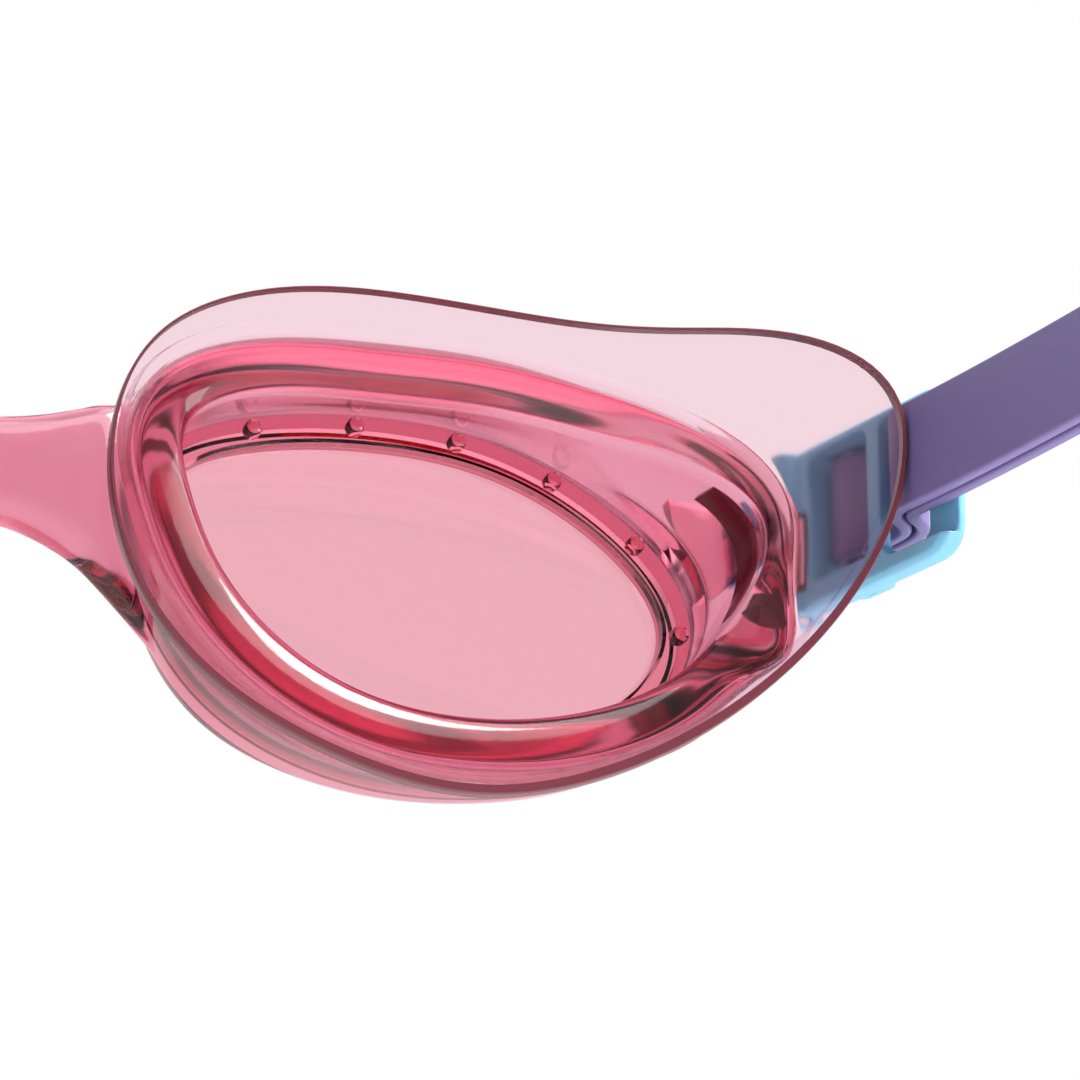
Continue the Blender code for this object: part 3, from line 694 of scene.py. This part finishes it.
def strap_half(label, side):
    """Half the band: along the outer layer from the buckle, round the clip's bar, back along the inner."""
    rear = [(STRAP_STRAIGHT, STRAP_BACK_Y), (STRAP_STRAIGHT - STRAP_TURN_IN, STRAP_BACK_Y)]
    route = spaced([clip_plan(s, t) for s, t in LEAD_MARKS] + STRAP_ROUTE + rear, ROUTE_STEP)
    outer = route + sideways(route) * LAYER_AT
    inner = route - sideways(route) * LAYER_AT
    bar = np.array(clip_plan(*BAR_ST))
    ahead = np.array(clip_plan(BAR_ST[0] - 1, BAR_ST[1])) - bar
    out = np.array(clip_plan(BAR_ST[0], BAR_ST[1] + 1)) - bar
    turn = np.radians(np.linspace(FOLD_ANGLE, -FOLD_ANGLE, FOLD_POINTS))
    fold = np.array([bar + FOLD_R * (ahead * math.cos(a) + out * math.sin(a)) for a in turn])
    start = np.array([(OUTER_END_X, STRAP_BACK_Y + LAYER_AT)])
    end = np.array([(INNER_END_X, STRAP_BACK_Y - LAYER_AT)])
    marks = np.vstack([start, outer[::-1], fold, inner, end])[::THINNED_BY]
    line = spaced(marks, LINE_STEP)
    section = band_section()
    sections = []
    for (x, y), (u, v) in zip(line, sideways(line)):
        sections.append([(side * (x + u * k), y + v * k, STRAP_Z + w) for k, w in section])
    piece = tube(f"strap_{label}", sections, 60)
    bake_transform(piece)
    return piece


def buckle():
    """Rear buckle: the CAD sleeve with rounded moulded edges."""
    source = NODES["rear_buckle"]
    piece = bpy.data.objects.new("buckle_sleeve", source.data.copy())
    bpy.context.collection.objects.link(piece)
    melted(piece, BUCKLE_VOXEL, EASE_ROUNDS)
    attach(piece, "buckle")
    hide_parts("rear_buckle")
    return piece


# ---------- materials ----------

def shader(name, **values):
    made = bpy.data.materials.new(name)
    made.use_nodes = True
    body = made.node_tree.nodes["Principled BSDF"]
    for key, value in values.items():
        body.inputs[key.replace("_", " ")].default_value = value
    return made, made.node_tree, body


def add(tree, kind, **settings):
    node = tree.nodes.new(kind)
    for key, value in settings.items():
        if key in node.inputs:
            node.inputs[key].default_value = value
        else:
            setattr(node, key, value)
    return node


def bump(tree, body, scale, detail, strength, distance):
    where = add(tree, "ShaderNodeTexCoord")
    noise = add(tree, "ShaderNodeTexNoise", Scale=scale, Detail=detail)
    rise = add(tree, "ShaderNodeBump", Strength=strength, Distance=distance)
    tree.links.new(where.outputs["Object"], noise.inputs["Vector"])
    tree.links.new(noise.outputs["Fac"], rise.inputs["Height"])
    tree.links.new(rise.outputs["Normal"], body.inputs["Normal"])
    return noise


def clear(name, colour, density, roughness, ior, tint_shade_stops=None):
    """Clear moulded plastic with its tint in its depth, and a surface tint if one is given; the soft
    plastic's surface tint carries painted shade.
    """
    made, tree, body = shader(
        name, Base_Color=(1, 1, 1, 1), Roughness=roughness, IOR=ior, Transmission_Weight=1.0
    )
    bump(tree, body, scale=260.0, detail=2.0, strength=0.02, distance=0.00005)
    if tint_shade_stops:
        tint_and_shade_by_depth(tree, body, tint_shade_stops)
    volume = add(tree, "ShaderNodeVolumeAbsorption", Color=(*colour, 1.0), Density=density)
    out = tree.nodes["Material Output"]
    tree.links.new(volume.outputs["Volume"], out.inputs["Volume"])
    return made


# Surface tint of the soft plastic: its pink is the plastic's own colour, and its darkening from the pale
# skirt to the walls and rim deeper in the cup is painted shade. Share of TINT_DEPTH forward from the face,
# and colour.
TINT_DEPTH = 20.0
SOFT_TINT_AND_SHADE = (
    (0.07, (0.95, 0.79, 0.85)),
    (0.20, (0.80, 0.34, 0.46)),
    (0.62, (0.80, 0.34, 0.46)),
    (0.85, (0.84, 0.30, 0.41)),
)


def tint_and_shade_by_depth(tree, body, tint_shade_stops):
    """Blends the surface tint in with the depth forward from the face, darkening deeper in the cup as
    painted shade.
    """
    where = add(tree, "ShaderNodeTexCoord")
    split = add(tree, "ShaderNodeSeparateXYZ")
    out = add(tree, "ShaderNodeMath", operation="ABSOLUTE")
    wrap = add(tree, "ShaderNodeMath", operation="MULTIPLY_ADD")
    wrap.inputs[1].default_value = math.sin(CUP_WRAP)
    wrap.inputs[2].default_value = -CUP_X * MM * math.sin(CUP_WRAP)
    depth = add(tree, "ShaderNodeMath", operation="MULTIPLY_ADD")
    depth.inputs[1].default_value = -math.cos(CUP_WRAP)
    share = add(tree, "ShaderNodeMapRange")
    share.inputs["From Max"].default_value = TINT_DEPTH * MM
    ramp = add(tree, "ShaderNodeValToRGB")
    ramp.color_ramp.elements.remove(ramp.color_ramp.elements[1])
    ramp.color_ramp.elements[0].position = tint_shade_stops[0][0]
    ramp.color_ramp.elements[0].color = (*tint_shade_stops[0][1], 1.0)
    for place, tint in tint_shade_stops[1:]:
        ramp.color_ramp.elements.new(place).color = (*tint, 1.0)
    tree.links.new(where.outputs["Object"], split.inputs["Vector"])
    tree.links.new(split.outputs["X"], out.inputs[0])
    tree.links.new(out.outputs["Value"], wrap.inputs[0])
    tree.links.new(split.outputs["Y"], depth.inputs[0])
    tree.links.new(wrap.outputs["Value"], depth.inputs[2])
    tree.links.new(depth.outputs["Value"], share.inputs["Value"])
    tree.links.new(share.outputs["Result"], ramp.inputs["Fac"])
    tree.links.new(ramp.outputs["Color"], body.inputs["Base Color"])


def painted_shade_edge(name):
    """Painted shade: the soft plastic where it is seen edge-on, coloured dark red and less clear to stand in
    for how dark it looks there.
    """
    made = clear(name, (0.6, 0.2, 0.25), density=500.0, roughness=0.3, ior=1.45)
    body = made.node_tree.nodes["Principled BSDF"]
    # Dark red base colour: painted shade in place of the pink plastic's own colour.
    body.inputs["Base Color"].default_value = (0.19, 0.03, 0.05, 1.0)
    body.inputs["Transmission Weight"].default_value = 0.35
    return made


def grained(name, colour, roughness, scale, strength):
    """Solid moulded plastic or silicone with a fine grain and slight mottling."""
    made, tree, body = shader(name, Roughness=roughness)
    noise = bump(tree, body, scale, detail=3.0, strength=strength, distance=0.00006)
    tone = add(tree, "ShaderNodeMix", data_type="RGBA")
    tone.inputs["A"].default_value = (*[c * 0.93 for c in colour], 1.0)
    tone.inputs["B"].default_value = (*[min(1.0, c * 1.07) for c in colour], 1.0)
    tree.links.new(noise.outputs["Fac"], tone.inputs["Factor"])
    tree.links.new(tone.outputs["Result"], body.inputs["Base Color"])
    return made


def steel(name):
    made, tree, body = shader(name, Base_Color=(0.62, 0.63, 0.65, 1.0), Metallic=1.0, Roughness=0.28)
    bump(tree, body, scale=900.0, detail=2.0, strength=0.15, distance=0.00003)
    return made


def dress(obj, look):
    obj.data.materials.clear()
    obj.data.materials.append(look)


# ---------- stage ----------

def view_axes():
    """The camera's right, forward and up directions."""
    a, b = VIEW_RISE, VIEW_TURN
    ahead = Vector((-math.sin(b) * math.cos(a), -math.cos(b) * math.cos(a), math.sin(a)))
    right = Vector((-math.cos(b), math.sin(b), 0.0))
    return right, ahead, right.cross(ahead)


def camera():
    right, ahead, up = view_axes()
    target = Vector((-CUP_X * MM, 0.0, 0.0)) + right * VIEW_SHIFT[0] + up * VIEW_SHIFT[1]
    seat = Matrix((right, up, -ahead)).transposed().to_4x4()
    seat.translation = target - ahead * VIEW_DISTANCE
    data = bpy.data.cameras.new("camera")
    data.sensor_width = 36.0
    data.lens = data.sensor_width * VIEW_DISTANCE / VIEW_WIDTH
    data.clip_start = 0.01
    obj = bpy.data.objects.new("camera", data)
    obj.matrix_world = seat
    bpy.context.scene.collection.objects.link(obj)
    bpy.context.scene.camera = obj


def softbox(name, place, size, power, aim=(-0.04, 0.0, 0.0)):
    data = bpy.data.lights.new(name, "AREA")
    data.shape = "RECTANGLE"
    data.size, data.size_y = size
    data.energy = power
    obj = bpy.data.objects.new(name, data)
    obj.location = place
    obj.rotation_euler = (Vector(aim) - Vector(place)).to_track_quat("-Z", "Y").to_euler()
    obj.visible_transmission = False
    bpy.context.scene.collection.objects.link(obj)


def surroundings():
    """A white background that lights the goggles less from behind the camera, three lights and the floor."""
    world = bpy.data.worlds.new("studio")
    world.use_nodes = True
    tree = world.node_tree
    back = tree.nodes["Background"]
    back.inputs["Color"].default_value = (1.0, 1.0, 1.0, 1.0)
    where = add(tree, "ShaderNodeTexCoord")
    ahead = add(tree, "ShaderNodeVectorMath", operation="DOT_PRODUCT")
    ahead.inputs[1].default_value = view_axes()[1]
    fall = add(tree, "ShaderNodeMapRange", interpolation_type="SMOOTHSTEP")
    for key, value in (("From Min", -0.8), ("From Max", 0.6), ("To Min", 0.45), ("To Max", 1.0)):
        fall.inputs[key].default_value = value
    path = add(tree, "ShaderNodeLightPath")
    pick = add(tree, "ShaderNodeMath", operation="MAXIMUM")
    tree.links.new(where.outputs["Generated"], ahead.inputs[0])
    tree.links.new(ahead.outputs["Value"], fall.inputs["Value"])
    tree.links.new(fall.outputs["Result"], pick.inputs[0])
    tree.links.new(path.outputs["Is Camera Ray"], pick.inputs[1])
    tree.links.new(pick.outputs["Value"], back.inputs["Strength"])
    bpy.context.scene.world = world
    bpy.context.scene.view_settings.view_transform = "Standard"
    softbox("key", (-0.287, 0.222, 0.498), (0.26, 0.26), 4.4)
    softbox("halo", (-0.30, 0.232, 0.52), (0.62, 0.62), 5.2)
    softbox("fill", (-0.45, 0.3, -0.17), (0.3, 0.3), 1.7)
    mesh = bpy.data.meshes.new("floor")
    corners = [(x * FLOOR_HALF, y * FLOOR_HALF, FLOOR_Z) for x, y in ((-1, -1), (1, -1), (1, 1), (-1, 1))]
    mesh.from_pydata(corners, [], [(0, 1, 2, 3)])
    floor = bpy.data.objects.new("floor", mesh)
    bpy.context.scene.collection.objects.link(floor)
    pale, _, _ = shader("pale_floor", Base_Color=(0.9, 0.9, 0.9, 1.0), Roughness=0.6)
    dress(floor, pale)


def build():
    camera()
    surroundings()
    # Soft pink whose surface tint darkens deeper in the cup: painted shade over the plastic's own pink.
    pink = clear("soft_pink", (0.87, 0.30, 0.48), density=120.0, roughness=0.10, ior=1.45, tint_shade_stops=SOFT_TINT_AND_SHADE)
    pane = clear("lens_pink", (0.87, 0.10, 0.29), density=350.0, roughness=0.01, ior=1.55)
    blue = grained("clip_blue", (0.16, 0.42, 0.60), roughness=0.42, scale=2600.0, strength=0.25)
    purple = grained("strap_purple", (0.155, 0.12, 0.29), roughness=0.55, scale=3200.0, strength=0.2)
    metal = steel("pin_steel")
    dress(soft_frame(), pink)
    # The skirt's dark red edge is painted shade.
    rim = painted_shade_edge("edge_painted_shade")
    for label, side in SIDES:
        dress(shaded_skirt_edge(label, side), rim)
        # The dark block at the temple is painted shade in the same dark red.
        dress(painted_shade_plate(label, side), rim)
        dress(lens(label, side), pane)
        dress(clip(label, side), blue)
        strap_piece = strap_half(label, side)
        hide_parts(f"strap_lead_{label}", f"strap_outer_{label}")
        if label == "left":
            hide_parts("strap_inner")
        dress(strap_piece, purple)
        for node in (f"hinge_pin_{label}", f"strap_bar_{label}"):
            dress(NODES[node], metal)
    dress(buckle(), blue)


build()
